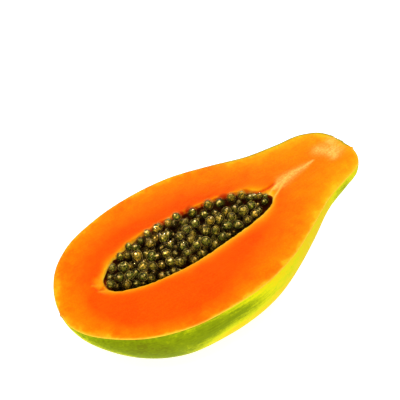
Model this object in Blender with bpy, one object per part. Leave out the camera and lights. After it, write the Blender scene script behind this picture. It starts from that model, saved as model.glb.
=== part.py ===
"""Half of a ripe papaya, cut from stem to blossom end and lying on its skin with the cut face up.

Skin and flesh are one grown piece, and the hollow in the flesh is full of wet black seeds.
Sizes are in millimetres from a point in the cut face: +X to the stem, +Y across, and +Z up.
MM turns them to metres, on an origin that lies in the resting spot below that point.
"""

import math
import random

import bmesh
import bpy
import numpy as np
from mathutils import Euler, Matrix, Vector

MM = 0.001

# The fruit in the cut face, from blossom end to stem: along, half width, middle and depth below
FRUIT_SECTIONS = (
    (-105.0, 0.0, -1.2, 0.0),
    (-102.5, 11.2, 0.6, 9.5),
    (-93.0, 26.0, 3.0, 25.0),
    (-76.0, 39.0, 2.6, 41.5),
    (-52.0, 47.0, 1.0, 54.3),
    (-24.0, 49.5, 0.0, 59.0),
    (4.0, 47.4, -1.3, 57.9),
    (28.0, 40.6, -2.2, 50.5),
    (50.0, 31.8, -1.6, 38.6),
    (70.0, 25.2, 0.8, 26.4),
    (88.0, 21.1, 1.4, 20.2),
    (98.0, 16.6, -0.2, 16.8),
    (103.4, 9.0, -2.2, 9.6),
    (105.0, 0.0, -3.0, 0.0),
)
CUT_HEIGHT = 58.0  # of the cut face above the resting spot, which is flat to this height
SKIN_BULGE = math.radians(18)  # how far round the section its widest level lies below the cut
LOBES = 5  # faint ridges of the five carpels, counted round the whole fruit
LOBE_DEPTH = 0.012  # of the grooves between them, as a share of the section

# The hollow in the cut face, from blossom end to stem: along, half width, middle and depth below
HOLLOW_SECTIONS = (
    (-73.2, 0.0, 5.6, 0.0),
    (-71.8, 4.2, 6.1, 5.0),
    (-68.0, 7.2, 6.2, 10.0),
    (-62.0, 10.5, 6.7, 15.0),
    (-54.0, 13.0, 6.4, 19.0),
    (-40.0, 15.7, 6.1, 22.5),
    (-22.0, 16.6, 5.0, 24.0),
    (0.0, 15.0, 3.8, 22.5),
    (20.0, 12.3, 2.1, 18.5),
    (32.0, 9.1, 0.5, 14.0),
    (38.4, 5.7, -1.1, 9.0),
    (41.6, 2.7, -2.0, 4.5),
    (43.0, 0.0, -2.6, 0.0),
)
HOLLOW_BULGE = math.radians(8)  # as SKIN_BULGE

# Steps of the two shells; a ball's points that lie this close to its equator belong to the rim
SECTIONS = 56  # from end to end, the same on skin and hollow so that their rims join
SKIN_STEPS = 28  # from rim to rim under the fruit
HOLLOW_STEPS = 12
RIM_TOLERANCE = 1e-5
SHARP_ANGLE = math.radians(35)  # edges sharper than this are shaded as edges

# The fruit's faces have two materials, and all of them are flesh unless they are marked as skin
FLESH_SLOT = 0
SKIN_SLOT = 1
FLESH_COLOUR = (0.95, 0.19, 0.01)
FLESH_ROUGHNESS = 0.45
SKIN_COLOUR = (0.42, 0.48, 0.02)
SKIN_ROUGHNESS = 0.4
SEED_COLOUR = (0.02, 0.025, 0.01)
SEED_ROUGHNESS = 0.2

SCAR_PLACE = (104.1, 2.4, -0.7)  # where the stem broke off, just under the cut
SCAR_RADIUS = 6.0
SCAR_DEPTH = 0.5
SCAR_TURN = math.radians(22)  # the scar faces this far to +Y from the fruit's own length

SEED_RADIUS = 3.2
SEED_SPREAD = 0.1  # share by which seeds are larger or smaller than that
SEED_SHAPE = (1.08, 0.98, 0.95)  # half lengths of a seed, as shares of its radius
SEED_GAP = 0.35  # between the seeds and the wall of the hollow
SEED_LEVEL = 1.0  # highest middle of a seed, from the cut face, where y is HEAP_MIDDLE
HEAP_MIDDLE = 5.0
HEAP_LEAN = 0.2  # by which the heap rises towards +Y, the side that it settled against
SEED_PRESSING = 0.92  # share of their full distance to which the soft seeds press together
SEED_MISSES = 60  # seeds in a row that stand too high before the hollow counts as full
SEED_TRIES = 40  # places over which each seed is let down, to take the lowest
SEED_ROLLS = 60  # steps in which it then rolls lower still
ROLL_WIDTH = 16.0  # of the hollow, over which a step across is counted
ROLL_SLOWING = 0.95  # of each step against the one before
SEED_DRAW = 7
SHOWN_DEPTH = 4.0  # seeds whose middles are deeper than this lie inside the core

CORE_LENGTH = 0.9  # of the wet pulp that holds the seeds, as a share of the hollow's
CORE_WIDTH = 0.88
CORE_SECTIONS = 24
CORE_STEPS = 6
CORE_REACH = 4.5  # distance over which the core's top follows the seeds
CORE_SINK = 1.0  # from the seeds' middles down to the core's top
CORE_THICKNESS = 1.5  # at least this, right up to its rim


def smooth_rows(sections, count):
    """Evenly spaced rows of a smooth curve through the sections, which closes squarely at both ends."""
    given = np.array(sections)
    mirror = np.array((1, -1, 1, -1))  # past an end the outline goes on as its own mirror image
    rows = np.vstack((given[1] * mirror, given, given[-2] * mirror))
    steps = np.linalg.norm(np.diff(rows[:, :2], axis=0), axis=1)
    reached = np.concatenate(([0.0], np.cumsum(steps)))
    slopes = np.gradient(rows, reached, axis=0)
    wanted = np.linspace(reached[1], reached[-2], count)
    start = np.clip(np.searchsorted(reached, wanted, side="right") - 1, 1, len(given) - 1)
    span = (reached[start + 1] - reached[start])[:, None]
    t = (wanted - reached[start])[:, None] / span
    left = (2 * t**3 - 3 * t**2 + 1) * rows[start] + (t**3 - 2 * t**2 + t) * span * slopes[start]
    right = (3 * t**2 - 2 * t**3) * rows[start + 1] + (t**3 - t**2) * span * slopes[start + 1]
    return left + right


def section_point(row, turn, bulge, lobe_depth=0.0):
    """A point of a section, turned from its +Y rim (0) underneath to its -Y rim (pi)."""
    along, half_width, middle, depth = row
    angle = turn * (1 + 2 * bulge / math.pi) - bulge
    groove = lobe_depth * math.sin(turn) * (1 - math.cos(LOBES * turn)) / 2
    across = half_width * math.cos(angle) / math.cos(bulge) * (1 - groove)
    down = depth * (math.sin(angle) + math.sin(bulge)) / (1 + math.sin(bulge)) * (1 - groove)
    return along, middle + across, -down


def metres(point):
    """A point of the cut face's millimetres in metres above the resting spot."""
    x, y, z = point
    return x * MM, y * MM, (z + CUT_HEIGHT) * MM


def row_of(rows, x):
    """The row that belongs to a ring of a ball of radius 1, at x along its axis."""
    return rows[round(math.acos(max(-1.0, min(1.0, -x))) / math.pi * (len(rows) - 1))]


def add_ball(bm, sections, steps):
    """Adds a ball of radius 1 with its poles along X and gives back its vertices."""
    along_x = Matrix.Rotation(math.radians(90), 4, "Y")
    made = bmesh.ops.create_uvsphere(
        bm, u_segments=2 * steps, v_segments=sections, radius=1, matrix=along_x
    )
    return made["verts"]


def add_shell(bm, sections, steps, bulge, lobe_depth=0.0):
    """Adds the lower half of a ball, drawn out to the sections, and gives back its vertices."""
    rows = smooth_rows(sections, SECTIONS + 1)
    ball = add_ball(bm, SECTIONS, steps)
    upper = [vert for vert in ball if vert.co.z > RIM_TOLERANCE]
    lower = [vert for vert in ball if vert.co.z <= RIM_TOLERANCE]
    bmesh.ops.delete(bm, geom=upper, context="VERTS")
    for vert in lower:
        turn = math.atan2(abs(vert.co.z), vert.co.y)
        x, y, z = section_point(row_of(rows, vert.co.x), turn, bulge, lobe_depth)
        vert.co = metres((x, y, max(z, -CUT_HEIGHT)))
    return lower


def rim_edges(verts):
    """The open edges of a shell."""
    edges = {edge for vert in verts for edge in vert.link_edges}
    return [edge for edge in edges if edge.is_boundary]


def add_object(name, mesh, collection):
    """Links a new object with this mesh into the collection."""
    made = bpy.data.objects.new(name, mesh)
    collection.objects.link(made)
    return made


def mesh_from(bm, name):
    """Turns a bmesh into a smooth-shaded mesh with its faces pointing out."""
    bmesh.ops.recalc_face_normals(bm, faces=bm.faces)
    mesh = bpy.data.meshes.new(name)
    bm.to_mesh(mesh)
    bm.free()
    mesh.shade_smooth()
    mesh.set_sharp_from_angle(angle=SHARP_ANGLE)
    return mesh


def cut_or_join(body, operation, operand):
    """Cuts the operand from the body, or joins a collection to it, and keeps the result as its mesh."""
    boolean = body.modifiers.new(operation.lower(), "BOOLEAN")
    boolean.operation = operation
    boolean.solver = "EXACT"
    if isinstance(operand, bpy.types.Collection):
        boolean.operand_type = "COLLECTION"
        boolean.collection = operand
    else:
        boolean.object = operand
    graph = bpy.context.evaluated_depsgraph_get()
    mesh = bpy.data.meshes.new_from_object(body.evaluated_get(graph))
    body.modifiers.clear()
    body.data = mesh


def material(name, colour, roughness):
    """A plain Principled material of a fruit's surface."""
    made = bpy.data.materials.new(name)
    made.use_nodes = True
    shader = made.node_tree.nodes["Principled BSDF"]
    shader.inputs["Base Color"].default_value = (*colour, 1)
    shader.inputs["Roughness"].default_value = roughness
    shader.inputs["Metallic"].default_value = 0
    return made


def make_fruit_half(parts, cutters):
    """Skin, cut face and hollow as one closed body, with the dish that the stem left at its end."""
    bm = bmesh.new()
    skin = add_shell(bm, FRUIT_SECTIONS, SKIN_STEPS, SKIN_BULGE, LOBE_DEPTH)
    for face in bm.faces:
        face.material_index = SKIN_SLOT
    hollow = add_shell(bm, HOLLOW_SECTIONS, HOLLOW_STEPS, HOLLOW_BULGE)
    rims = rim_edges(skin) + rim_edges(hollow)
    bmesh.ops.triangle_fill(bm, edges=rims, use_beauty=True, normal=(0, 0, 1))
    fruit = add_object("fruit_half", mesh_from(bm, "fruit_half"), parts)
    fruit.data.materials.append(material("papaya_flesh", FLESH_COLOUR, FLESH_ROUGHNESS))
    fruit.data.materials.append(material("papaya_skin", SKIN_COLOUR, SKIN_ROUGHNESS))

    # a shallow dish: the cap of a large ball, SCAR_RADIUS wide where it meets the skin
    ball_radius = (SCAR_RADIUS**2 + SCAR_DEPTH**2) / (2 * SCAR_DEPTH)
    bm = bmesh.new()
    bmesh.ops.create_icosphere(bm, subdivisions=4, radius=ball_radius * MM)
    cutter = add_object("stem_scar_cutter", mesh_from(bm, "stem_scar_cutter"), cutters)
    outward = Matrix.Rotation(SCAR_TURN, 3, "Z").col[0]
    cutter.location = outward * (ball_radius - SCAR_DEPTH) * MM + Vector(metres(SCAR_PLACE))
    cutter.hide_render = True
    cutter.display_type = "WIRE"
    cut_or_join(fruit, "DIFFERENCE", cutter)


def resting_place(x, share, radius, rows, settled):
    """Level in the heap, x, y, z and share of a seed let down at x and at this share of the width."""
    half_width, middle, depth, slope = (np.interp(x, rows[:, 0], column) for column in rows.T[1:])
    reach = (radius + SEED_GAP) * math.hypot(1, slope)
    room = half_width - reach
    if room <= 0 or abs(share) > 1:
        return math.inf, x, middle, 0.0, share
    y = middle + room * share
    z = -(depth - reach) * math.sqrt(1 - share**2)
    for other_x, other_y, other_z, other_radius in settled:
        apart = (radius + other_radius) * SEED_PRESSING
        rise = apart**2 - (x - other_x) ** 2 - (y - other_y) ** 2
        if rise > 0:
            z = max(z, other_z + math.sqrt(rise))
    return z - HEAP_LEAN * (y - HEAP_MIDDLE), x, y, z, share


def settle_seeds():
    """Middles and radii of seeds let down one by one, each rolling into a low place, until it is full."""
    draw = random.Random(SEED_DRAW)
    rows = smooth_rows(HOLLOW_SECTIONS, SECTIONS + 1)
    widening, bend, deepening = np.abs(np.gradient(rows[:, 1:], rows[:, 0], axis=0)).T
    rows = np.column_stack((rows, np.maximum(widening + bend, deepening)))
    settled = []
    missed = 0
    while missed < SEED_MISSES:
        radius = SEED_RADIUS * draw.uniform(1 - SEED_SPREAD, 1 + SEED_SPREAD)
        starts = [(draw.uniform(rows[0, 0], rows[-1, 0]), draw.uniform(-1, 1)) for _ in range(SEED_TRIES)]
        lowest = min(resting_place(*start, radius, rows, settled) for start in starts)
        step = radius
        for _ in range(SEED_ROLLS):
            x = lowest[1] + draw.gauss(0, step)
            share = lowest[4] + draw.gauss(0, step / ROLL_WIDTH)
            lowest = min(lowest, resting_place(x, share, radius, rows, settled))
            step *= ROLL_SLOWING
        if lowest[0] < SEED_LEVEL:
            settled.append((*lowest[1:4], radius))
            missed = 0
        else:
            missed += 1
    return settled


def core_top(x, y, seeds):
    """Height of the core's top: just under the middles of the seeds near this place."""
    near = [math.exp(-((x - seed[0]) ** 2 + (y - seed[1]) ** 2) / CORE_REACH**2) for seed in seeds]
    middle = sum(share * seed[2] for share, seed in zip(near, seeds)) / sum(near)
    return middle - CORE_SINK


def add_core(seeds, collection):
    """A ball drawn out to the hollow's shape, whose upper half follows the seeds that stand out of it."""
    rows = smooth_rows(HOLLOW_SECTIONS, CORE_SECTIONS + 1)
    centre = rows[:, 0].mean()
    bm = bmesh.new()
    for vert in add_ball(bm, CORE_SECTIONS, CORE_STEPS):
        row = row_of(rows, vert.co.x) * (1, CORE_WIDTH, 1, CORE_WIDTH)
        turn = math.atan2(abs(vert.co.z), vert.co.y)
        x, y, z = section_point(row, turn, HOLLOW_BULGE)
        x = centre + (x - centre) * CORE_LENGTH
        top = core_top(x, y, seeds)
        under = vert.co.z < -RIM_TOLERANCE
        vert.co = metres((x, y, min(z, top - CORE_THICKNESS) if under else top))
    return add_object("seeds", mesh_from(bm, "seeds"), collection)


def make_seeds(parts):
    """The seeds that show, each sunk by half in a core of pulp, joined into one body."""
    draw = random.Random(SEED_DRAW)
    shown = [seed for seed in settle_seeds() if seed[2] > -SHOWN_DEPTH]
    loose = bpy.data.collections.new("loose_seeds")
    bpy.context.scene.collection.children.link(loose)
    bm = bmesh.new()
    bmesh.ops.create_icosphere(bm, subdivisions=2, radius=MM)
    mesh = mesh_from(bm, "seed")
    for seed in shown:
        copy = add_object("loose_seed", mesh, loose)
        copy.location = metres(seed[:3])
        copy.scale = [seed[3] * share for share in SEED_SHAPE]
        copy.rotation_euler = Euler([draw.uniform(0, math.tau) for _ in range(3)])
    core = add_core(shown, parts)
    cut_or_join(core, "UNION", loose)
    for copy in list(loose.objects):
        bpy.data.objects.remove(copy)
    bpy.data.collections.remove(loose)
    core.data.materials.clear()
    core.data.materials.append(material("papaya_seed", SEED_COLOUR, SEED_ROUGHNESS))


def main():
    for old in list(bpy.data.objects):
        bpy.data.objects.remove(old)
    parts = bpy.data.collections.new("papaya")
    cutters = bpy.data.collections.new("cutters")
    for collection in (parts, cutters):
        bpy.context.scene.collection.children.link(collection)
    make_fruit_half(parts, cutters)
    make_seeds(parts)


main()
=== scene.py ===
"""Half of a ripe papaya, cut lengthwise and heaped with seeds, on a pale studio floor.

Sizes are in millimetres where a comment doesn't say metres, and places are measured from a point in
the cut face: +X to the stem, +Y across and +Z up. The lamps' are measured on the floor below it.
"""

import math
import random

import bmesh
import bpy
import numpy as np
from mathutils import Euler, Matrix, Vector, kdtree, noise


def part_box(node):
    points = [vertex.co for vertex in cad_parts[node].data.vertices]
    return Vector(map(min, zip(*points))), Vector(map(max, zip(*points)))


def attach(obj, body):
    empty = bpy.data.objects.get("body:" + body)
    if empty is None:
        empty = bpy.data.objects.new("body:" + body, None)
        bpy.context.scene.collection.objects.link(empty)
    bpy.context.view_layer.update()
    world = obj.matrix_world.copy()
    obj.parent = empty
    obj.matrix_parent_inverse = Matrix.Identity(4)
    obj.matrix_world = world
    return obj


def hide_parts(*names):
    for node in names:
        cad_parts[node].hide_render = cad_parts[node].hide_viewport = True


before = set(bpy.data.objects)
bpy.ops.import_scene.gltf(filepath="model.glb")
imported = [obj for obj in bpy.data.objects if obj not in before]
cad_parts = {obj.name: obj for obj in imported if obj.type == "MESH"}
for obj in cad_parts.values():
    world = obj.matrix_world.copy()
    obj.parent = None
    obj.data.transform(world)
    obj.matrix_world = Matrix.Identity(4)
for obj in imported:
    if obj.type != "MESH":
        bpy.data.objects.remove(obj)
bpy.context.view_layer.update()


# The camera stands where the photograph was taken from: in front of the fruit, to the left of its
# middle, and looking down on the cut face with a long lens.
MM = 0.001  # a millimetre, in the frame's metres
CUT_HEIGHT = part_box("fruit_half")[1][2] / MM  # of the cut face above the floor
CAMERA_ELEVATION = math.radians(53.457)
CAMERA_AZIMUTH = math.radians(-39.389)  # from -Y towards +X
CAMERA_DISTANCE = 900
CAMERA_TARGET = Vector((7.188, 21.317, 0))  # in the cut face
CAMERA_ORIGIN = Vector((0, -4, 0))  # that the distance and the two angles are measured from
SENSOR_WIDTH = 36
PIXELS_PER_MM = 1.714  # at that distance
PICTURE_SIZE = 400  # pixels

backward = Vector((
    math.sin(CAMERA_AZIMUTH) * math.cos(CAMERA_ELEVATION),
    -math.cos(CAMERA_AZIMUTH) * math.cos(CAMERA_ELEVATION),
    math.sin(CAMERA_ELEVATION),
))
camera_place = CAMERA_ORIGIN + backward * CAMERA_DISTANCE
camera = bpy.data.objects.new("camera", bpy.data.cameras.new("camera"))
bpy.context.scene.collection.objects.link(camera)
camera.location = (camera_place + Vector((0, 0, CUT_HEIGHT))) * MM
camera.rotation_euler = (camera_place - CAMERA_TARGET).to_track_quat("Z", "Y").to_euler()
camera.data.sensor_width = SENSOR_WIDTH
camera.data.lens = SENSOR_WIDTH * PIXELS_PER_MM * CAMERA_DISTANCE / PICTURE_SIZE
bpy.context.scene.camera = camera


# The fruit itself: skin and flesh grown as one, cut lengthwise with a long knife. The cut face is
# moist and nearly flat, its lip slopes softly into the hollow, and the skin is thin and waxy.
FRUIT_SECTIONS = (  # from blossom end to stem: along, half width, middle and depth below the cut
    (-105.0, 0.0, -1.2, 0.0),
    (-102.5, 11.2, 0.6, 9.5),
    (-93.0, 26.0, 3.0, 25.0),
    (-76.0, 39.0, 2.6, 41.5),
    (-52.0, 47.0, 1.0, 54.3),
    (-24.0, 49.5, 0.0, 59.0),
    (4.0, 47.4, -1.3, 57.9),
    (28.0, 40.6, -2.2, 50.5),
    (50.0, 31.8, -1.6, 38.6),
    (70.0, 25.2, 0.8, 26.4),
    (88.0, 21.1, 1.4, 20.2),
    (98.0, 16.6, -0.2, 16.8),
    (103.4, 9.0, -2.2, 9.6),
    (105.0, 0.0, -3.0, 0.0),
)
HOLLOW_SECTIONS = (
    (-73.2, 0.0, 5.6, 0.0),
    (-71.8, 4.2, 6.1, 5.0),
    (-68.0, 7.2, 6.2, 10.0),
    (-62.0, 10.5, 6.7, 15.0),
    (-54.0, 13.0, 6.4, 19.0),
    (-40.0, 15.7, 6.1, 22.5),
    (-22.0, 16.6, 5.0, 24.0),
    (0.0, 15.0, 3.8, 22.5),
    (20.0, 12.3, 2.1, 18.5),
    (32.0, 9.1, 0.5, 14.0),
    (38.4, 5.7, -1.1, 9.0),
    (41.6, 2.7, -2.0, 4.5),
    (43.0, 0.0, -2.6, 0.0),
)
SKIN_BULGE = math.radians(18)  # how far round the section its widest level lies below the cut
HOLLOW_BULGE = math.radians(8)
LOBES = 5  # faint ridges of the five carpels, counted round the whole fruit
LOBE_DEPTH = 0.012
STATIONS = 360  # steps from end to end
SKIN_STEPS = 84  # from rim to rim under the fruit
HOLLOW_STEPS = 30
FACE_STEPS = 56  # across the cut face, from the skin to the lip
FACE_CROWDING = 0.8  # below 1 they lie closer together at the lip
EDGE_STEPS = 4  # round the edge of the skin and over the lip
SKIN_EDGE = 0.5  # radius of the cut edge of the skin
LIP_EDGE = 0.9  # of the hollow's rim, at the foot of the sloping lip
SMALL = 0.16  # no edge is rounder than this share of the half width
SAME_POINT = 1e-6  # points that lie closer than this, in metres, are one

# along the fruit: how wide the sloping yellow lip is on the far side and on the near side, how far
# the far side has a bare red edge in its place, how wide the yellow zone under the skin is, where 1
# is its width at the fruit's middle, and how strongly it is narrowed on the near side
LIP_STATIONS = (-76, -55, -40, -30, 20, 28, 36, 44)
FAR_LIP = (1.7, 1.9, 1.7, 1.0, 1.0, 1.5, 3.0, 3.6)
NEAR_LIP = (1.7, 1.9, 1.9, 2.1, 2.6, 2.6, 2.4, 1.9)
BARE_RIM = (0, 0, 0.3, 1, 1, 0.8, 0.6, 0.3)
RIND_STATIONS = (-105, -92, -72, 0, 30, 60, 90, 105)
RIND_WIDTH = (1.9, 1.42, 0.92, 1.0, 1.15, 1.5, 1.6, 1.3)
NEAR_RIND_STATIONS = (-96, -78, -30, -5, 25, 50)
NEAR_RIND_NARROWING = (0, 0.9, 0.8, 0.0, -0.15, 0)
SIDES_BLEND = 4  # across which the near side passes into the far side
LIP_DROP = 1.1
LIP_SLOPE = (0.15, 1.15)  # in lip widths from the hollow: the foot of the slope, and its top
RIM_SOFTNESS = 2.2  # how far from the hollow its rim is ragged
FLAT_FROM_SKIN = 3  # the knife's waves have their full height this far from the skin
FLAT_FROM_HOLLOW = 2  # and this far from the hollow
KNIFE_STRETCH = (0.35, 1, 1)  # its marks run along the fruit
FACE_RISE = 0.45  # the highest that flesh stands above the cut face

# each kind of unevenness: how wide its lumps are, how high, and a random seed; lip_width, lip_depth
# and red_strength change something by that share, and red_width makes the red edge that much wider
UNEVENNESS = {
    "knife_waves": (16, 0.14, 1),
    "knife_marks": (2.2, 0.06, 2),
    "ragged_rim": (6, 0.4, 3),
    "frayed_rim": (2, 0.3, 4),
    "wall": (4, 0.8, 5),
    "skin": (22, 0.35, 6),
    "torn_scar": (1.4, 0.5, 7),
    "lumpy_scar": (3.5, 0.4, 8),
    "lip_width": (9, 0.35, 9),
    "lip_depth": (3, 0.5, 10),
    "rim_nicks": (1.5, 0.4, 11),
    "red_strength": (3, 0.6, 12),
    "red_width": (7, 2.8, 13),
}

SKIN_FADE = 4  # the lumps of the skin start at its rim and have their full height this far from it
SKIN_WAY = (0.2, 1, 1)  # they stand out from the fruit's long axis
SCAR_PLACE = (104.1, 2.4, -0.7)  # where the stem broke off
SCAR_RADIUS = 6.0
SCAR_TURN = math.radians(22)  # from +X towards +Y
SCAR_DEPTH = 0.55
SCAR_RING = (1.3, 0.2)  # width and height of its raised edge
SCAR_TEARING = (3, 2.2)  # how far past its edge the torn surface reaches, and how much rougher it is
SCAR_TINT = (1.5, 7.5)  # from its middle: how far it has its full colour, and where that ends
BLOSSOM_PLACE = (-104.0, 6.2, -1.0)  # the dry point where the flower was
BLOSSOM_POINT = (1.6, 0.9)  # half width and height of the point itself
BLOSSOM_TINT = (1.28, 4.48)

# the pale bundle of fibres from the hollow towards the stem, two thin fibres that leave it, the
# loops of pulp that curl round the blossom end of the hollow and the tear at its other end: along,
# across and half width
PALE_BUNDLE = (
    (47.5, 0.3, 0.8),
    (50, 1.2, 1.9),
    (53, 1.8, 3.1),
    (56, 2.2, 3.1),
    (63, 2.6, 2.4),
    (72, 2.4, 1.6),
    (79, 2.8, 0.6),
)
FIBRES = (
    ((41, -5.2, 0.6), (47.3, -2.7, 0.7), (52, -0.3, 0.8), (57, 1.6, 0.6)),
    ((42, -0.6, 0.5), (46, 0.9, 0.6), (52, 2.2, 0.6)),
)
END_LOOPS = (
    ((-79, 10.8, 0.7), (-77.4, 9.4, 1.0), (-75, 8.6, 1.0), (-72, 9.2, 0.9), (-69.8, 9.6, 0.6)),
    ((-78, 5.0, 0.7), (-75.4, 3.7, 0.9), (-73, 3.6, 0.9), (-70.4, 3.4, 0.6)),
)
TEAR = (
    (36.5, 6.6, 0.5),
    (39.2, 4.7, 0.8),
    (42, 3.7, 1.1),
    (44.6, 3.2, 1.0),
    (47, 3.4, 0.7),
    (49.6, 3.8, 0.4),
)
LINE_FADE = 2  # how far past its two ends such a line fades out
FIBRE_HEIGHT = 0.35
LOOP_HEIGHT = 0.3
TEAR_DEPTH = 0.5

# the pale core of the stem, and a dent at the blossom end of the hollow, with a flap of pulp and a
# pit in it: along, across, and two radii
CORE_LOBES = (
    (88.4, 6.8, 4.6, 3.2),
    (96.4, 0.6, 4.6, 3.4),
    (98.6, 7.4, 4.0, 3.2),
    (91.8, 1.6, 3.4, 3.2),
    (92.4, -3.2, 3.0, 1.6),
)
DENT = (-75.2, 8.2, 3.3, 6.4)
FLAP = (-74.3, 11.0, 1.7, 2.3)
PIT = (-75.7, 6.3, 2.3, 1.0)
DENT_SLOPE = (0.2, 1.2)  # in radii from its middle: the edge of its flat bottom, and its own edge
DENT_DEPTH = 1.3
FLAP_HEIGHT = 0.9
PIT_DEPTH = 0.8

# the thin edges of the cut, each from the distance up to which it has its full colour to the one
# where that ends: pale flesh along the near skin, and a line of skin that shows along the far one
PALE_EDGE = (0.1, 0.6)
PEEL_EDGE = (0.27, 1.17)
PEEL_STATIONS = (0, 50)  # along the fruit, where that line starts and where it is plain
RED_EDGE = 0.9  # how far the bare red edge reaches from the hollow's rim where it is narrowest
# painted shade in the hollow: its wall is painted darker with depth, and less so at the blossom end
PAINTED_SHADE_DEPTHS = (0.3, 3.3)  # depths in the hollow where its wall starts to darken and where it is dark
LIT_END = (-73, 5)  # at the blossom end the wall stays lighter: from here, over this length
LIT_END_SHADE = 0.2  # and no darker there than this

# how strongly the colours of some parts show
PALE_EDGE_SHOWS = 0.45
LOOPS_SHOW = 0.45
FLAP_SHOWS = 0.6  # beside the loops
PIT_SHOWS = 0.6  # beside the tear
CORE_SHOWS = 0.85  # beside the bundle of fibres

# parts of the skin that are still green: along, round from the near rim (0) underneath to the far
# rim (1), half length, half height and strength
GREEN_PATCHES = (
    (-102, 0.05, 20, 0.20, 0.55),
    (-84, 0.07, 24, 0.26, 1.05),
    (-58, 0.11, 26, 0.20, 1.05),
    (-34, 0.045, 24, 0.075, 0.95),
    (-12, 0.055, 20, 0.065, 0.6),
    (12, 0.06, 22, 0.06, 0.35),
    (82, 0.08, 15, 0.10, 0.8),
    (-30, 0.62, 40, 0.16, 0.8),
    (30, 0.80, 30, 0.12, 0.6),
)
PATCH_EDGE = (0.25, 1.25)  # in half lengths from its middle, where a patch starts to fade and ends
PATCH_SOFTNESS = 1.2


def smooth_rows(sections, count):
    """Evenly spaced rows of a smooth curve through the sections, which closes squarely at its ends."""
    given = np.array(sections)
    mirror = np.array((1, -1, 1, -1))
    rows = np.vstack((given[1] * mirror, given, given[-2] * mirror))
    steps = np.linalg.norm(np.diff(rows[:, :2], axis=0), axis=1)
    reached = np.concatenate(([0.0], np.cumsum(steps)))
    slopes = np.gradient(rows, reached, axis=0)
    wanted = np.linspace(reached[1], reached[-2], count)
    start = np.clip(np.searchsorted(reached, wanted, side="right") - 1, 1, len(given) - 1)
    span = (reached[start + 1] - reached[start])[:, None]
    t = (wanted - reached[start])[:, None] / span
    left = (2 * t**3 - 3 * t**2 + 1) * rows[start] + (t**3 - 2 * t**2 + t) * span * slopes[start]
    right = (3 * t**2 - 2 * t**3) * rows[start + 1] + (t**3 - t**2) * span * slopes[start + 1]
    return left + right


def bowl(rows, edge, steps, bulge, lobe_depth):
    """Points and turns of a shell, from `edge` below its +Y rim round to `edge` below its -Y rim."""
    along, half_width, middle, depth = (column[:, None] for column in rows.T)
    sine = math.sin(bulge)
    with np.errstate(divide="ignore", invalid="ignore"):
        lowered = np.where(depth > 0, edge[:, None] * (1 + sine) / depth, 0) - sine
    first = (np.arcsin(lowered) + bulge) / (1 + 2 * bulge / math.pi)
    turn = first + (math.pi - 2 * first) * np.linspace(0, 1, steps + 1)
    angle = turn * (1 + 2 * bulge / math.pi) - bulge
    size = 1 - lobe_depth * np.sin(turn) * (1 - np.cos(LOBES * turn)) / 2
    y = middle + half_width * np.cos(angle) / math.cos(bulge) * size
    z = -depth * (np.sin(angle) + sine) / (1 + sine) * size
    return np.stack((np.broadcast_to(along, y.shape), y, z), axis=-1), turn


def round_rim(grid):
    """The two edges of a shell as one loop of points, out along +Y and back along -Y."""
    return np.concatenate((grid[:, 0], grid[-2:0:-1, -1]))


def rim_loop(rows):
    """The rim itself, in the cut face, in the same order."""
    far = np.column_stack((rows[:, 0], rows[:, 2] + rows[:, 1], 0 * rows[:, 0]))
    near = np.column_stack((rows[:, 0], rows[:, 2] - rows[:, 1], 0 * rows[:, 0]))
    return np.concatenate((far, near[-2:0:-1]))


def beside(loop, edge):
    """A loop in the cut face moved out of itself, at each station by the edge given for it."""
    along = np.roll(loop, -1, axis=0) - np.roll(loop, 1, axis=0)
    out = np.column_stack((-along[:, 1], along[:, 0], 0 * along[:, 0]))
    out /= np.linalg.norm(out, axis=1, keepdims=True)
    return loop + out * np.concatenate((edge, edge[-2:0:-1]))[:, None]


def bent(start, corner, end, steps):
    """Rows of points that bend from start to end round the corner, without the start itself."""
    t = np.linspace(0, 1, steps + 1)[1:, None, None]
    return (1 - t) ** 2 * start + 2 * t * (1 - t) * corner + t**2 * end


def faces_between(count, rows, first, closed):
    """Quads of a grid of `rows` rows, each with `count` points, numbered from `first`."""
    i = np.arange(count if closed else count - 1)
    after = (i + 1) % count
    row = np.arange(rows - 1)[:, None] * count + first
    next_row = row + count
    return np.stack((row + i, row + after, next_row + after, next_row + i), axis=-1).reshape(-1, 4)


def noise_at(points, size, seed):
    """Smooth noise, about -1 to 1, whose lumps are `size` wide."""
    shift = Vector((seed * 17.3, seed * 9.1, seed * 5.7))
    return np.array([noise.noise(Vector(point) / size + shift) for point in points])


def uneven(points, kind):
    """How far one kind of unevenness stands out or in at each point."""
    size, height, seed = UNEVENNESS[kind]
    return height * noise_at(points, size, seed)


def fading(distance, full, none):
    """1 up to the distance `full`, falling to 0 at the distance `none`."""
    return np.clip((none - distance) / (none - full), 0, 1)


def distance_to(points, line):
    """How far each point lies, in the cut face, from the nearest point of a line."""
    nearest = kdtree.KDTree(len(line))
    for index, (x, y, _) in enumerate(line):
        nearest.insert((x, y, 0), index)
    nearest.balance()
    return np.array([nearest.find((x, y, 0))[2] for x, y, _ in points])


def near_line(points, line):
    """1 on a line of (along, across, half width), falling smoothly to 0 at about twice its width."""
    stations, middles, widths = np.array(line, dtype=float).T
    x = points[:, 0]
    away = (points[:, 1] - np.interp(x, stations, middles)) / np.interp(x, stations, widths)
    ends = np.clip(np.minimum(x - stations[0], stations[-1] - x) / LINE_FADE + 1, 0, 1)
    return np.exp(-(away**2)) * ends


def from_middle(points, ellipse):
    """Distance from the middle of an ellipse in the cut face, counted in its radii."""
    x, y, length, width = ellipse
    return np.hypot((points[:, 0] - x) / length, (points[:, 1] - y) / width)


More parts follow.
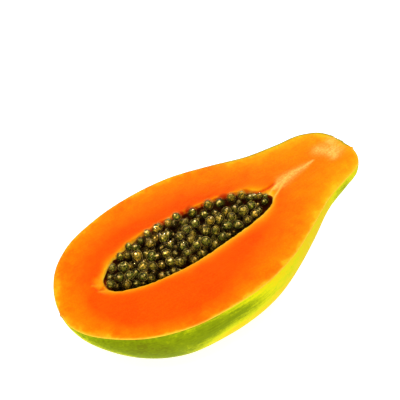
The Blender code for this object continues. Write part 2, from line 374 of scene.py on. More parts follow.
def add_mesh(name, points, faces, values):
    """A smooth mesh in the frame, with values that it carries at its points, as an object."""
    made = bpy.data.meshes.new(name)
    made.from_pydata(((points + (0, 0, CUT_HEIGHT)) * MM).tolist(), [], faces.tolist())
    for label, numbers in values.items():
        carried = made.attributes.new(label, "FLOAT", "POINT")
        carried.data.foreach_set("value", numbers.astype(np.float32))
    made.shade_smooth()
    thing = bpy.data.objects.new(name, made)
    bpy.context.scene.collection.objects.link(thing)
    return thing


skin_rows = smooth_rows(FRUIT_SECTIONS, STATIONS + 1)
hollow_rows = smooth_rows(HOLLOW_SECTIONS, STATIONS + 1)
skin_edge = np.minimum(SKIN_EDGE, SMALL * skin_rows[:, 1])
lip_edge = np.minimum(LIP_EDGE, SMALL * hollow_rows[:, 1])
skin, skin_turn = bowl(skin_rows, skin_edge, SKIN_STEPS, SKIN_BULGE, LOBE_DEPTH)
wall, _ = bowl(hollow_rows, lip_edge, HOLLOW_STEPS, HOLLOW_BULGE, 0)
outer, inner = rim_loop(skin_rows), rim_loop(hollow_rows)
face_outside, face_inside = beside(outer, -skin_edge), beside(inner, lip_edge)
skin_loop, wall_loop = round_rim(skin), round_rim(wall)

crowded = 1 - (1 - np.linspace(0, 1, FACE_STEPS + 1)[1:, None, None]) ** (1 / FACE_CROWDING)
face = np.concatenate((
    skin_loop[None],
    bent(skin_loop, outer, face_outside, EDGE_STEPS),
    face_outside + (face_inside - face_outside) * crowded,
    bent(face_inside, inner, wall_loop, EDGE_STEPS),
))
points = np.concatenate((skin.reshape(-1, 3), face.reshape(-1, 3), wall.reshape(-1, 3)))
along, across, height = points.T  # views: a change of one moves the points
face_start = skin.shape[0] * skin.shape[1]
wall_start = face_start + face.shape[0] * face.shape[1]
number = np.arange(len(points))
in_skin = number < face_start
in_hollow = number >= wall_start
cut_open = ~in_skin
in_flesh = cut_open & ~in_hollow

to_skin = distance_to(points, rim_loop(smooth_rows(FRUIT_SECTIONS, 4 * STATIONS)))
to_hollow = distance_to(points, rim_loop(smooth_rows(HOLLOW_SECTIONS, 4 * STATIONS)))
centre_line = np.interp(along, hollow_rows[:, 0], hollow_rows[:, 2])
far_side = np.clip((across - centre_line) / SIDES_BLEND + 0.5, 0, 1)
near_side = 1 - far_side
plan = points * (1, 1, 0)
far_lip = far_side * np.interp(along, LIP_STATIONS, FAR_LIP)
near_lip = near_side * np.interp(along, LIP_STATIONS, NEAR_LIP)
to_lip = to_hollow / ((far_lip + near_lip) * (1 + uneven(plan, "lip_width")))
rind = to_skin / np.interp(along, RIND_STATIONS, RIND_WIDTH)
rind *= 1 + near_side * np.interp(along, NEAR_RIND_STATIONS, NEAR_RIND_NARROWING)

# the knife leaves the face a little uneven, and the lip is soft and torn where the seeds grew on it
flat = in_flesh * np.clip(to_skin / FLAT_FROM_SKIN, 0, 1) * np.clip(to_hollow / FLAT_FROM_HOLLOW, 0, 1)
height += flat * (uneven(points, "knife_waves") + uneven(points * KNIFE_STRETCH, "knife_marks"))
slope = cut_open * fading(to_lip, *LIP_SLOPE) ** 2
height -= LIP_DROP * slope * (1 + uneven(plan, "lip_depth"))
at_rim = cut_open * np.exp(-((to_hollow / RIM_SOFTNESS) ** 2))
outward = np.sign(across - centre_line)
across += at_rim * outward * np.abs(uneven(plan, "ragged_rim") + uneven(plan, "frayed_rim"))
height -= at_rim * in_flesh * np.maximum(uneven(plan, "rim_nicks"), 0)
across += in_hollow * (1 - at_rim) * outward * np.abs(uneven(points, "wall"))

# at the blossom end the hollow runs out in a shallow dent with a flap of pulp in it, and at the
# other end in a tear between torn fibres
dent = in_flesh * fading(from_middle(points, DENT), *DENT_SLOPE)
flap = in_flesh * np.exp(-from_middle(points, FLAP) ** 2)
pit = in_flesh * np.exp(-from_middle(points, PIT) ** 2)
tear = in_flesh * near_line(points, TEAR)
fibres = in_flesh * np.max([near_line(points, line) for line in FIBRES], axis=0)
loops = in_flesh * np.max([near_line(points, line) for line in END_LOOPS], axis=0)
height += FLAP_HEIGHT * flap + FIBRE_HEIGHT * fibres + LOOP_HEIGHT * loops
height -= DENT_DEPTH * dent + PIT_DEPTH * pit + TEAR_DEPTH * tear

# the skin is a little lumpy, its stem scar is a shallow dish with a torn edge, and the blossom end
# is a dry point
lumps = in_skin * np.clip(to_skin / SKIN_FADE + np.clip(-height / SKIN_FADE, 0, 1), 0, 1)
way_out = points * SKIN_WAY
way_out /= np.linalg.norm(way_out, axis=1, keepdims=True) + 1e-9  # which keeps it from dividing by 0
points += way_out * (lumps * uneven(points, "skin"))[:, None]
from_scar = np.linalg.norm(points - SCAR_PLACE, axis=1)
torn = uneven(points, "torn_scar") + uneven(points, "lumpy_scar")
dish = SCAR_DEPTH * np.clip(1 - (from_scar / SCAR_RADIUS) ** 4, 0, 1)
ring = np.exp(-(((from_scar - SCAR_RADIUS) / SCAR_RING[0]) ** 2)) * (SCAR_RING[1] + torn)
tearing = fading(from_scar, SCAR_RADIUS, SCAR_RADIUS + SCAR_TEARING[0]) * SCAR_TEARING[1] * torn
points += (ring + tearing - dish)[:, None] * (math.cos(SCAR_TURN), math.sin(SCAR_TURN), 0)
from_blossom = np.linalg.norm(points - BLOSSOM_PLACE, axis=1)
along -= BLOSSOM_POINT[1] * np.exp(-((from_blossom / BLOSSOM_POINT[0]) ** 2))
np.clip(height, -CUT_HEIGHT, FACE_RISE, out=height)

around = np.zeros(len(points))
around[in_skin] = 1 - skin_turn.reshape(-1) / math.pi
green = np.zeros(len(points))
for station, level, half_length, half_height, strength in GREEN_PATCHES:
    away = np.hypot((along - station) / half_length, (around - level) / half_height)
    green += strength * fading(away, *PATCH_EDGE) ** PATCH_SOFTNESS

core = sum(np.exp(-from_middle(points, lobe) ** 2) for lobe in CORE_LOBES)
peel_shows = far_side * np.interp(along, PEEL_STATIONS, (0, 1))
bare = cut_open * far_side * np.interp(along, LIP_STATIONS, BARE_RIM)
red_width = RED_EDGE + np.maximum(uneven(plan, "red_width"), 0)
red_edge = bare * fading(to_hollow, 0.5 * red_width, 1.5 * red_width)
# how dark the painted shade on the hollow's wall may get along the fruit
darkest_painted_shade = np.clip((along - LIT_END[0]) / LIT_END[1], LIT_END_SHADE, 1)

fruit = add_mesh("papaya_half", points, np.concatenate((
    faces_between(SKIN_STEPS + 1, STATIONS + 1, 0, False),
    faces_between(len(outer), len(face), face_start, True),
    faces_between(HOLLOW_STEPS + 1, STATIONS + 1, wall_start, False),
)), {
    "rind": np.where(in_hollow, 30, rind),
    "lip": np.where(in_hollow, 0, to_lip),
    "pale_edge": PALE_EDGE_SHOWS * in_flesh * near_side * fading(to_skin, *PALE_EDGE),
    "peel_edge": in_flesh * peel_shows * fading(to_skin, *PEEL_EDGE),
    "red_edge": np.clip(red_edge * (1 + uneven(plan, "red_strength")), 0, 1),
    # painted shade: the hollow's wall darkens with depth
    "wall": in_hollow * np.minimum(1 - fading(-height, *PAINTED_SHADE_DEPTHS), darkest_painted_shade),
    "pale": in_flesh * np.clip(near_line(points, PALE_BUNDLE) + CORE_SHOWS * core, 0, 1),
    "thread": fibres,
    "loop": LOOPS_SHOW * np.clip(loops + FLAP_SHOWS * flap, 0, 1),
    "torn": np.clip(tear + PIT_SHOWS * pit, 0, 1),
    "pulp": dent,
    "scar": fading(from_scar, *SCAR_TINT),
    "blossom": fading(from_blossom, *BLOSSOM_TINT),
    "around": around,
    "green": green,
})
mesh = fruit.data
is_peel = np.arange(len(mesh.polygons)) < SKIN_STEPS * STATIONS
mesh.polygons.foreach_set("material_index", is_peel.astype(np.int32))
bm = bmesh.new()
bm.from_mesh(mesh)
bmesh.ops.remove_doubles(bm, verts=bm.verts, dist=SAME_POINT)
bmesh.ops.dissolve_degenerate(bm, edges=bm.edges, dist=SAME_POINT / 10)
bmesh.ops.recalc_face_normals(bm, faces=bm.faces)
bm.to_mesh(mesh)
bm.free()
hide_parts("fruit_half")
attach(fruit, "root")


def linear(code):
    """An sRGB hex colour as linear red, green, blue and alpha."""
    parts = [int(code[i:i + 2], 16) / 255 for i in (1, 3, 5)]
    return (*[c / 12.92 if c <= 0.04045 else ((c + 0.055) / 1.055) ** 2.4 for c in parts], 1.0)


def set_inputs(tree, node, inputs):
    """Sets a node's inputs, each to a value or by a link from an output."""
    for key, value in inputs.items():
        if isinstance(value, bpy.types.NodeSocket):
            tree.links.new(value, node.inputs[key])
        else:
            node.inputs[key].default_value = value


def add_node(tree, kind, inputs=None, output=0, stops=(), **settings):
    """Adds a node with its inputs and settings, and any stops of its ramp, and gives one output."""
    made = tree.nodes.new("ShaderNode" + kind)
    for key, value in settings.items():
        setattr(made, key, value)
    set_inputs(tree, made, inputs or {})
    for _ in stops[2:]:  # a new ramp has two
        made.color_ramp.elements.new(1)
    for number, (position, code) in enumerate(stops):
        made.color_ramp.elements[number].position = position
        made.color_ramp.elements[number].color = linear(code)
    return made.outputs[output]


def new_material(name):
    """A material with only a Principled shader, and its tree and shader."""
    made = bpy.data.materials.new(name)
    made.use_nodes = True
    return made, made.node_tree, made.node_tree.nodes["Principled BSDF"]


# Ripe papaya flesh, cut fresh: red-orange in its middle, yellower towards the skin, the lip and the
# neck, with long fibres and a moist film that softens the light. It lets light in a few millimetres.
# In the hollow, painted shade darkens the wall with depth.
ZONES = (10.0, 34.0)  # how far in the colour zones start and end, with about 10 that the lumps add
ZONE_LUMPS = (  # how wide, detail, roughness, and how far they push the zones
    (18.182, 3, 0.5, 9.0),
    (5.8824, 3, 0.6, 8.0),
    (1.1111, 4, 0.65, 3.0),  # the grain of the flesh, coarser than it really is, so that it shows
)
FIBRE_SPACING = 1.1111  # coarser than the real fibres too
FIBRE_STRETCH = (0.15, 1, 1)  # they run along the fruit
NECK = (22, 72)  # along the fruit, where the flesh starts to turn to the neck's, and where it has
RIPE_PATCH = 16.667  # width of the redder patches
RIPE_SHARE = (0.42, 0.1)  # how strong they are in the body and in the neck
LIP_ZONE = (0.25, 3.6)  # where the lip's colours start and end, with 0.25 that the grain adds
LIGHT_DEPTH = 2  # how far red light gets in
FLESH_BUMP = 0.4  # height of the fibres and the grain
DARK_FIBRE = (0.99, 0.84, 0.7, 1.0)  # what the colour is multiplied by in a fibre and beside it
LIGHT_FIBRE = (1.0, 1.14, 1.1, 1.0)

flesh, tree, shader = new_material("ripe_papaya_flesh")
carried = {
    name: add_node(tree, "Attribute", output="Fac", attribute_name=name)
    for name in (
        "rind", "lip", "red_edge", "pulp", "wall", "torn", "loop", "thread", "pale", "pale_edge",
        "peel_edge",
    )
}
place = add_node(tree, "TexCoord", output="Object")
depth_in = carried["rind"]
for width, detail, roughness, push in ZONE_LUMPS:
    grain = add_node(tree, "TexNoise", {
        "Vector": place, "Scale": 1 / (width * MM), "Detail": detail, "Roughness": roughness,
    })
    depth_in = add_node(tree, "Math", {0: grain, 1: push, 2: depth_in}, operation="MULTIPLY_ADD")
zone = add_node(tree, "MapRange", {"Value": depth_in, "From Min": ZONES[0], "From Max": ZONES[1]})
body = add_node(tree, "ValToRGB", {"Fac": zone}, stops=(
    (0.0, "#e1a413"), (0.05, "#e68a06"), (0.12, "#e57a02"), (0.3, "#e47001"), (0.5, "#e46502"),
    (0.7, "#e55b01"), (0.88, "#e55001"),
))
neck = add_node(tree, "ValToRGB", {"Fac": zone}, stops=(
    (0.0, "#e4b015"), (0.08, "#e59e08"), (0.22, "#e68603"), (0.5, "#e57902"), (0.85, "#e47101"),
))
to_neck = add_node(tree, "MapRange", {
    "Value": add_node(tree, "SeparateXYZ", {"Vector": place}),
    "From Min": NECK[0] * MM, "From Max": NECK[1] * MM,
}, interpolation_type="SMOOTHSTEP")

ripe = add_node(tree, "TexNoise", {
    "Vector": place, "Scale": 1 / (RIPE_PATCH * MM), "Detail": 4, "Roughness": 0.65,
})
ripest = add_node(tree, "Math", {
    0: add_node(tree, "MapRange", {"Value": ripe, "From Min": 0.5, "From Max": 0.64}),
    1: add_node(tree, "MapRange", {
        "Value": to_neck, "To Min": RIPE_SHARE[0], "To Max": RIPE_SHARE[1],
    }),
}, operation="MULTIPLY")
frayed_lip = add_node(tree, "Math", {0: grain, 1: 0.5, 2: carried["lip"]}, operation="MULTIPLY_ADD")
lip_place = add_node(tree, "MapRange", {
    "Value": frayed_lip, "From Min": LIP_ZONE[0], "From Max": LIP_ZONE[1],
})
lip_share = add_node(tree, "MapRange", {"Value": lip_place, "From Min": 0.95, "From Max": 0.25})
lip = add_node(tree, "ValToRGB", {"Fac": lip_place}, stops=(
    (0.0, "#f8c840"), (0.12, "#f2a818"), (0.28, "#ec8a08"), (0.6, "#e76e03"), (1.0, "#e65702"),
))
# painted shade: the hollow's red wall turns nearly black-brown with depth
wall_shade_share = add_node(tree, "MapRange", {"Value": carried["wall"], "From Max": 0.4})
painted_wall_shade = add_node(tree, "Mix", {
    0: carried["wall"], 6: linear("#c03805"), 7: linear("#3a1204"),
}, 2, data_type="RGBA")

strands = add_node(tree, "TexNoise", {
    "Vector": add_node(tree, "Mapping", {"Vector": place, "Scale": FIBRE_STRETCH}),
    "Scale": 1 / (FIBRE_SPACING * MM), "Detail": 4, "Roughness": 0.6,
})
pale_strands, strands_and_grain, fine_relief = (
    add_node(tree, "Math", {0: strands, 1: share, 2: grain}, operation="MULTIPLY_ADD")
    for share in (0.6, 0.45, 1.0)
)
pale_share = add_node(tree, "Math", {
    0: carried["pale"],
    1: add_node(tree, "MapRange", {
        "Value": pale_strands, "From Min": 0.6, "From Max": 1.0, "To Min": 0.45, "To Max": 1.0,
    }),
}, operation="MULTIPLY", use_clamp=True)

colour = body
for share, laid_over in (  # in this order
    (to_neck, neck),
    (ripest, linear("#e24402")),
    (lip_share, lip),
    (carried["red_edge"], linear("#b83204")),
    (carried["pulp"], linear("#e58a0a")),
    (wall_shade_share, painted_wall_shade),
    (carried["torn"], linear("#d44406")),
    (carried["loop"], linear("#f09c1c")),
    (carried["thread"], linear("#e7b045")),
    (pale_share, linear("#e9bc5a")),
    (carried["pale_edge"], linear("#f2c84c")),
    (carried["peel_edge"], linear("#8c8a10")),
):
    colour = add_node(tree, "Mix", {0: share, 6: colour, 7: laid_over}, 2, data_type="RGBA")
shade = add_node(tree, "MapRange", {"Value": strands_and_grain, "From Min": 0.55, "From Max": 0.9})
fibre_tint = add_node(tree, "Mix", {0: shade, 6: DARK_FIBRE, 7: LIGHT_FIBRE}, 2, data_type="RGBA")
set_inputs(tree, shader, {
    "Base Color": add_node(
        tree, "Mix", {0: 1.0, 6: colour, 7: fibre_tint}, 2, data_type="RGBA", blend_type="MULTIPLY"
    ),
    "Normal": add_node(tree, "Bump", {
        "Height": fine_relief, "Strength": 0.3, "Distance": FLESH_BUMP * MM,
    }),
    "Roughness": 0.45,
    "IOR": 1.36,
    "Specular IOR Level": 0.08,
    "Specular Tint": linear("#ff7010"),
    "Subsurface Weight": 0.25,
    "Subsurface Radius": (1.0, 0.35, 0.08),
    "Subsurface Scale": LIGHT_DEPTH * MM,
})
mesh.materials.append(flesh)

# Papaya skin: thin, waxy and smooth, with fine pores. It ripens from olive green to yellow in
# patches and lengthwise streaks, first at the neck and along the sides, last beside the near rim.
STREAK_STRETCH = (0.16, 1, 1)
THREAD_STRETCH = (0.06, 1, 1)
HIDDEN_SIDE = (0.3, 0.5)  # round the fruit: where its far side's mottling starts, and where it is full
MOTTLE = 41.667  # width of its mottling
TURNING_PATCH = 50  # width of the parts that turn orange
DOT_SPACING = 3.8462  # of the dark dots
PORE_SPACING = 1.9231  # coarser than the real pores, so that they show
PORE_BUMP = 0.2  # depth of the pores

peel, tree, shader = new_material("waxy_papaya_skin")
carried = {
    name: add_node(tree, "Attribute", output="Fac", attribute_name=name)
    for name in ("around", "green", "scar", "blossom")
}
place = add_node(tree, "TexCoord", output="Object")
streaked = add_node(tree, "Mapping", {"Vector": place, "Scale": STREAK_STRETCH})
threaded = add_node(tree, "Mapping", {"Vector": place, "Scale": THREAD_STRETCH})
hidden = add_node(tree, "MapRange", {
    "Value": carried["around"], "From Min": HIDDEN_SIDE[0], "From Max": HIDDEN_SIDE[1],
})
unripe = carried["green"]
for vector, width, detail, roughness, share in (  # width, and how much greener the lumps make it
    (place, 33.333, 3, 0.5, -0.5),
    (streaked, 3.8462, 3, 0.5, -0.35),
    (threaded, 1.1111, 2, 0.5, -0.9),  # fine threads, drawn coarser than they are, so that they show
    (place, 1.4286, 2, 0.6, -0.6),
):
    lumps = add_node(tree, "TexNoise", {
        "Vector": vector, "Scale": 1 / (width * MM), "Detail": detail, "Roughness": roughness,
    })
    unripe = add_node(tree, "Math", {0: lumps, 1: share, 2: unripe}, operation="MULTIPLY_ADD")
mottle = add_node(tree, "TexNoise", {
    "Vector": place, "Scale": 1 / (MOTTLE * MM), "Detail": 5, "Roughness": 0.6,
})
turned = add_node(tree, "TexNoise", {
    "Vector": place, "Scale": 1 / (TURNING_PATCH * MM), "Detail": 4, "Roughness": 0.6,
})
dots, pores = (
    add_node(tree, "TexVoronoi", {"Vector": place, "Scale": 1 / (spacing * MM), "Randomness": 1.0},
             "Distance", feature="F1")
    for spacing in (DOT_SPACING, PORE_SPACING)
)
mottle_share, turned_share, dot_share = (
    add_node(tree, "Math", {
        0: add_node(tree, "MapRange", {
            "Value": pattern, "From Min": low, "From Max": high, "To Max": strongest,
        }),
        1: hidden,
    }, operation="MULTIPLY")
    for pattern, low, high, strongest in (
        (mottle, 0.42, 0.62, 1.0), (turned, 0.48, 0.6, 0.75), (dots, 0.16, 0.08, 0.7),
    )
)
unripe = add_node(tree, "Math", {0: mottle_share, 1: 0.7, 2: unripe}, operation="MULTIPLY_ADD")
greenness = add_node(tree, "MapRange", {"Value": unripe, "From Min": -1.2, "From Max": 0.42})
colour = add_node(tree, "ValToRGB", {"Fac": greenness}, stops=(
    (0.0, "#dcbe0c"), (0.12, "#d8c60c"), (0.28, "#cac80a"), (0.45, "#acb208"), (0.65, "#7e8c04"),
    (0.85, "#6e7c03"), (1.0, "#646a04"),
))
for share, code in (
    (turned_share, "#cf7a10"),
    (dot_share, "#4d5c08"),
    (carried["scar"], "#8c7326"),
    (carried["blossom"], "#7a6420"),
):
    colour = add_node(tree, "Mix", {0: share, 6: colour, 7: linear(code)}, 2, data_type="RGBA")
set_inputs(tree, shader, {
    "Base Color": colour,
    "Normal": add_node(tree, "Bump", {
        "Height": add_node(tree, "MapRange", {"Value": pores, "From Min": 0.05, "From Max": 0.25}),
        "Strength": 0.2, "Distance": PORE_BUMP * MM,
    }),
    "Roughness": 0.6,
    "IOR": 1.45,
    "Specular IOR Level": 0.02,
    "Specular Tint": linear("#fff0a0"),
})
mesh.materials.append(peel)


# The seeds: small ovoid seeds, each in a thin sac of clear gel, heaped in the hollow as they grew
# loose from its wall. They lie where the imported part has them, each rolled down onto those below.
SEED_RADIUS = 3.2
SEED_SPREAD = 0.1  # by what share of that it is more or less
SEED_GAP = 0.35  # between a seed and the wall
SEED_PRESSING = 0.92  # seeds press into each other, down to this share of their distance
SEED_LEVEL = 1.0  # up to which the middles of seeds fill the hollow
HEAP_MIDDLE = 5.0  # the heap is that high here across the fruit
HEAP_LEAN = 0.2  # and this much higher for each millimetre towards the far side
SEED_MISSES = 60  # seeds in a row that find no place, after which it is full
SEED_TRIES = 40  # places to start from, of which a seed takes the lowest
SEED_ROLLS = 60  # steps that it then tries, and takes where they lead lower
ROLL_WIDTH = 16.0  # a step across is as wide as one along where the hollow has this half width
ROLL_SLOWING = 0.95  # each step is this share of the last
SEED_DRAW = 7
SHOWN_DEPTH = 4.0  # the seeds that show have their middles above this depth
MADE_DEPTH = 13.0  # deeper seeds are never seen
PACKED_STATIONS = 57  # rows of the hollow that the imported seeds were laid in
END_SEEDS = (  # small ones in the gaps at the two ends of the hollow: x, y, z and radius
    (37.6, 3.0, -1.6, 2.3),
    (40.2, 0.4, -1.2, 1.9),
    (34.9, 4.6, -1.4, 2.6),
    (-66.9, 10.6, -1.8, 2.5),
    (-69.5, 7.5, -2.0, 2.3),
)
SAC_SIZE = 0.94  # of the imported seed, which gives the sacs room between them
SIZE_RANGE = (0.88, 1.06)
SEED_SHAPE = (1.14, 0.96, 0.92)  # its three radii, as shares of a ball's
WRINKLE_WIDTHS = (0.5, 0.25)  # as shares of the radius
FINE_WRINKLES = 0.6  # how deep the finer ones are beside the others
WRINKLE_DRAWS = (20, 320)  # for the first seed's two kinds of wrinkles, and 1 more for each next seed
RIM_DEPTH = 3.0  # the uppermost seeds at the far rim are pressed into its soft edge
RIM_SHARE = 0.4  # of the half width, past which a seed is at the rim
RIM_SHIFT = 1.1
RIM_LIFT = 0.6
RIM_RADIUS = 2.7  # smaller seeds stay where they are


def resting_place(x, share, radius, rows, settled):
    """Level in the heap, x, y, z and share of a seed let down at x and at this share of the width."""
    half_width, middle, depth, slope = (np.interp(x, rows[:, 0], column) for column in rows.T[1:])
    reach = (radius + SEED_GAP) * math.hypot(1, slope)
    room = half_width - reach
    if room <= 0 or abs(share) > 1:
        return math.inf, x, middle, 0.0, share
    y = middle + room * share
    z = -(depth - reach) * math.sqrt(1 - share**2)
    for other_x, other_y, other_z, other_radius in settled:
        apart = (radius + other_radius) * SEED_PRESSING
        rise = apart**2 - (x - other_x) ** 2 - (y - other_y) ** 2
        if rise > 0:
            z = max(z, other_z + math.sqrt(rise))
    return z - HEAP_LEAN * (y - HEAP_MIDDLE), x, y, z, share


def settle_seeds():
    """Middles and radii of seeds let down one by one, each rolling to a low place, until it is full."""
    draw = random.Random(SEED_DRAW)
    rows = smooth_rows(HOLLOW_SECTIONS, PACKED_STATIONS)
    widening, bend, deepening = np.abs(np.gradient(rows[:, 1:], rows[:, 0], axis=0)).T
    rows = np.column_stack((rows, np.maximum(widening + bend, deepening)))
    settled = []
    missed = 0
    while missed < SEED_MISSES:
        radius = SEED_RADIUS * draw.uniform(1 - SEED_SPREAD, 1 + SEED_SPREAD)
        starts = [
            (draw.uniform(rows[0, 0], rows[-1, 0]), draw.uniform(-1, 1)) for _ in range(SEED_TRIES)
        ]
        lowest = min(resting_place(*start, radius, rows, settled) for start in starts)
        step = radius
        for _ in range(SEED_ROLLS):
            x = lowest[1] + draw.gauss(0, step)
            share = lowest[4] + draw.gauss(0, step / ROLL_WIDTH)
            lowest = min(lowest, resting_place(x, share, radius, rows, settled))
            step *= ROLL_SLOWING
        if lowest[0] < SEED_LEVEL:
            settled.append((*lowest[1:4], radius))
            missed = 0
        else:
            missed += 1
    return settled


def ball(subdivisions):
    """Points and faces of a ball of radius 1."""
    bm = bmesh.new()
    bmesh.ops.create_icosphere(bm, subdivisions=subdivisions, radius=1)
    ball_points = np.array([vert.co[:] for vert in bm.verts])
    ball_faces = np.array([[vert.index for vert in face.verts] for face in bm.faces])
    bm.free()
    return ball_points, ball_faces


def add_seeds(name, seeds, size, wrinkles, fine_depth):
    """All the seeds as one piece, with a random tone for each and every point's level in the heap."""
    draw_turn, draw_tone = random.Random(SEED_DRAW), random.Random(SEED_DRAW + 1)
    fine, plain = ball(3), ball(2)
    all_points, all_faces, tones, start = [], [], [], 0
    for number, (x, y, z, radius) in enumerate(seeds):
        shape, faces = fine if z > -fine_depth else plain
        half_width, middle = (np.interp(x, hollow_rows[:, 0], row) for row in hollow_rows.T[1:3])
        if z > -RIM_DEPTH and y > middle + RIM_SHARE * half_width and radius > RIM_RADIUS:
            y, z = y + RIM_SHIFT, z + RIM_LIFT
        turn = np.array(Euler([draw_turn.uniform(0, math.tau) for _ in range(3)]).to_matrix())
        bumps, fine_bumps = (
            noise_at(shape, width, first + number)
            for width, first in zip(WRINKLE_WIDTHS, WRINKLE_DRAWS)
        )
        wrinkled = shape * (1 + wrinkles * (bumps + FINE_WRINKLES * fine_bumps))[:, None]
        radii = np.array(SEED_SHAPE) * radius * size * draw_turn.uniform(*SIZE_RANGE)
        all_points.append((wrinkled * radii) @ turn.T + (x, y, z))
        all_faces.append(faces + start)
        tones.append(np.full(len(shape), draw_tone.random()))
        start += len(shape)
    seed_points = np.concatenate(all_points)
    made = add_mesh(name, seed_points, np.concatenate(all_faces), {
        "tone": np.concatenate(tones),
        # the level in the heap sets the seeds' painted shade
        "level": seed_points[:, 2] - HEAP_LEAN * (seed_points[:, 1] - HEAP_MIDDLE),
    })
    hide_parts("seeds")
    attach(made, "root")
    return made


settled = settle_seeds()
shown = [seed for seed in settled if seed[2] > -SHOWN_DEPTH]
deeper = [seed for seed in settled if -MADE_DEPTH < seed[2] <= -SHOWN_DEPTH]
seeds = shown + list(END_SEEDS) + deeper

# The seed in its sac: a wrinkled coat, from nearly black over dark green and olive to tan, with
# painted shade that turns it dark brown deeper down in the heap.
KERNEL_SIZE = 0.8  # of its sac
KERNEL_WRINKLES = 0.06  # depth as a share of the radius
KERNEL_FINE_DEPTH = 7  # down to which the seeds' meshes are fine
KERNEL_MOTTLE = 1.25  # width of the coat's light and dark parts
KERNEL_LUMPS = 2  # width of the lumps in its relief
KERNEL_BUMP = 0.5  # height of those lumps

kernels = add_seeds("papaya_seeds", seeds, SAC_SIZE * KERNEL_SIZE, KERNEL_WRINKLES, KERNEL_FINE_DEPTH)
kernel, tree, shader = new_material("wrinkled_papaya_seed")
place = add_node(tree, "TexCoord", output="Object")
tone = add_node(tree, "Attribute", output="Fac", attribute_name="tone")
level = add_node(tree, "Attribute", output="Fac", attribute_name="level")
mottle = add_node(tree, "TexNoise", {
    "Vector": place, "Scale": 1 / (KERNEL_MOTTLE * MM), "Detail": 2, "Distortion": 1.0,
})
toned = add_node(tree, "Math", {0: tone, 1: 0.11, 2: mottle}, operation="MULTIPLY_ADD")
coat = add_node(tree, "ValToRGB", {"Fac": toned}, stops=(
    (0.38, "#10160a"), (0.47, "#26300c"), (0.57, "#4c4e0e"), (0.66, "#7e7418"), (0.74, "#d0ac4a"),
))
tint = add_node(
    tree, "Mix", {0: tone, 6: linear("#b4dc9c"), 7: linear("#ffdc98")}, 2, data_type="RGBA"
)
coat = add_node(
    tree, "Mix", {0: 1.0, 6: coat, 7: tint}, 2, data_type="RGBA", blend_type="MULTIPLY"
)
# painted shade: the deeper in the heap, the darker brown the seed
painted_heap_light = add_node(tree, "MapRange", {
    "Value": level, "From Min": -4.2, "From Max": 2.0, "To Min": 0.08,
})
set_inputs(tree, shader, {
    "Base Color": add_node(
        tree, "Mix", {0: painted_heap_light, 6: linear("#1f1404"), 7: coat}, 2, data_type="RGBA"
    ),
    "Normal": add_node(tree, "Bump", {
        "Height": add_node(tree, "TexNoise", {
            "Vector": place, "Scale": 1 / (KERNEL_LUMPS * MM), "Detail": 2,
        }),
        "Strength": 0.35, "Distance": KERNEL_BUMP * MM,
    }),
    "Roughness": 0.12,
    "IOR": 1.45,
    "Specular IOR Level": 0.35,
    "Specular Tint": linear("#ffcc58"),
})
kernels.data.materials.append(kernel)

# The sac: clear wet gel in a thin skin. It is seen through in its middle, and at its edge, where the
# eye looks along the gel, it shows as a thin golden ring.
SAC_WRINKLES = 0.02  # depth as a share of the radius
SAC_FINE_DEPTH = 5  # down to which the sacs' meshes are fine
GEL_CLOUD = 2.38095  # width of the cloudy parts
GEL_LUMPS = 1.78571  # width of the lumps in its skin
GEL_BUMP = 0.5  # height of those lumps

sacs = add_seeds("seed_sacs", seeds, SAC_SIZE, SAC_WRINKLES, SAC_FINE_DEPTH)
gel, tree, shader = new_material("clear_seed_gel")
place = add_node(tree, "TexCoord", output="Object")
tone = add_node(tree, "Attribute", output="Fac", attribute_name="tone")
level = add_node(tree, "Attribute", output="Fac", attribute_name="level")
cloud = add_node(tree, "TexNoise", {"Vector": place, "Scale": 1 / (GEL_CLOUD * MM), "Detail": 2})
facing = add_node(tree, "LayerWeight", {"Blend": 0.5}, "Facing")
seen_edge = add_node(tree, "Math", {0: cloud, 1: 0.35, 2: facing}, operation="MULTIPLY_ADD")
golden = add_node(
    tree, "Mix", {0: tone, 6: linear("#e4cc5c"), 7: linear("#ffd868")}, 2, data_type="RGBA"
)
# painted shade: the deeper in the heap, the darker brown the gel
painted_heap_light = add_node(tree, "MapRange", {
    "Value": level, "From Min": -3.0, "From Max": 1.6, "To Min": 0.05,
})
set_inputs(tree, shader, {
    "Base Color": add_node(
        tree, "Mix", {0: painted_heap_light, 6: linear("#3c1c04"), 7: golden}, 2, data_type="RGBA"
    ),
    "Alpha": add_node(tree, "MapRange", {
        "Value": seen_edge, "From Min": 0.8, "From Max": 1.02, "To Min": 0.02,
    }),
    "Normal": add_node(tree, "Bump", {
        "Height": add_node(tree, "TexNoise", {
            "Vector": place, "Scale": 1 / (GEL_LUMPS * MM), "Detail": 2,
        }),
        "Strength": 0.6, "Distance": GEL_BUMP * MM,
    }),
    "Roughness": 0.04,
    "IOR": 1.45,
    "Specular IOR Level": 1.0,
    "Specular Tint": linear("#ffe09c"),
})
sacs.data.materials.append(gel)


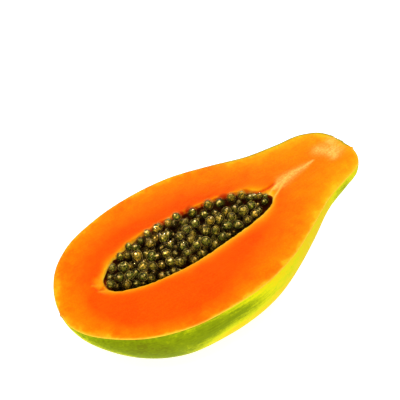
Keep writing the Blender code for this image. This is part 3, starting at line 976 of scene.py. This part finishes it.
# The floor is a plain sheet of pale paper, lit by soft studio lamps. It glows faintly, so that it is
# as white as the photograph's background. The glint lamps only sparkle on the wet seeds.
FLOOR_REACH = 3  # metres each way
STUDIO_LAMPS = (  # name, place in metres, size in metres and power in watts
    ("key_lamp", (-0.35, -0.25, 1.15), 0.25, 8.6),
    ("front_lamp", (-0.6, -0.9, 0.3), 0.6, 4.2),
    ("back_lamp", (0.6, 0.75, 0.6), 0.25, 4.5),
)
GLINT_LAMPS = (
    ("glint_1", (-0.15, 0.5, 1.1), 0.1, 34),
    ("glint_2", (0.5, -0.1, 1.1), 0.12, 34),
    ("glint_3", (-0.8, 0.1, 0.6), 0.12, 26),
    ("glint_4", (0.05, -0.5, 1.15), 0.12, 34),
    ("glint_5", (0.7, 0.5, 0.75), 0.12, 34),
    ("glint_6", (-0.5, 0.8, 0.7), 0.12, 34),
)


def add_lamp(name, spot, size, power):
    """A square lamp that shines on the middle of the floor."""
    lamp = bpy.data.objects.new(name, bpy.data.lights.new(name, "AREA"))
    bpy.context.scene.collection.objects.link(lamp)
    lamp.location = spot
    lamp.rotation_euler = Vector(spot).to_track_quat("Z", "Y").to_euler()
    lamp.data.size = size
    lamp.data.energy = power
    return lamp


floor_mesh = bpy.data.meshes.new("floor")
bm = bmesh.new()
bmesh.ops.create_grid(bm, x_segments=1, y_segments=1, size=FLOOR_REACH)
bm.to_mesh(floor_mesh)
bm.free()
floor = bpy.data.objects.new("floor", floor_mesh)
bpy.context.scene.collection.objects.link(floor)
paper, tree, shader = new_material("pale_paper")
set_inputs(tree, shader, {
    "Base Color": linear("#f8f8f6"),
    "Roughness": 0.9,
    "Specular IOR Level": 0.1,
    "Emission Color": linear("#d2dcff"),
    "Emission Strength": 0.7,
})
floor_mesh.materials.append(paper)

wet_things = bpy.data.collections.new("wet_things")
wet_things.objects.link(kernels)
wet_things.objects.link(sacs)
for lamp in STUDIO_LAMPS:
    add_lamp(*lamp)
for lamp in GLINT_LAMPS:
    glint = add_lamp(*lamp)
    glint.visible_diffuse = False
    glint.light_linking.receiver_collection = wet_things
world = bpy.data.worlds.new("studio")
bpy.context.scene.world = world
world.use_nodes = True
set_inputs(world.node_tree, world.node_tree.nodes["Background"], {
    "Color": linear("#ffffff"), "Strength": 0.5,
})
bpy.context.scene.view_settings.view_transform = "Standard"
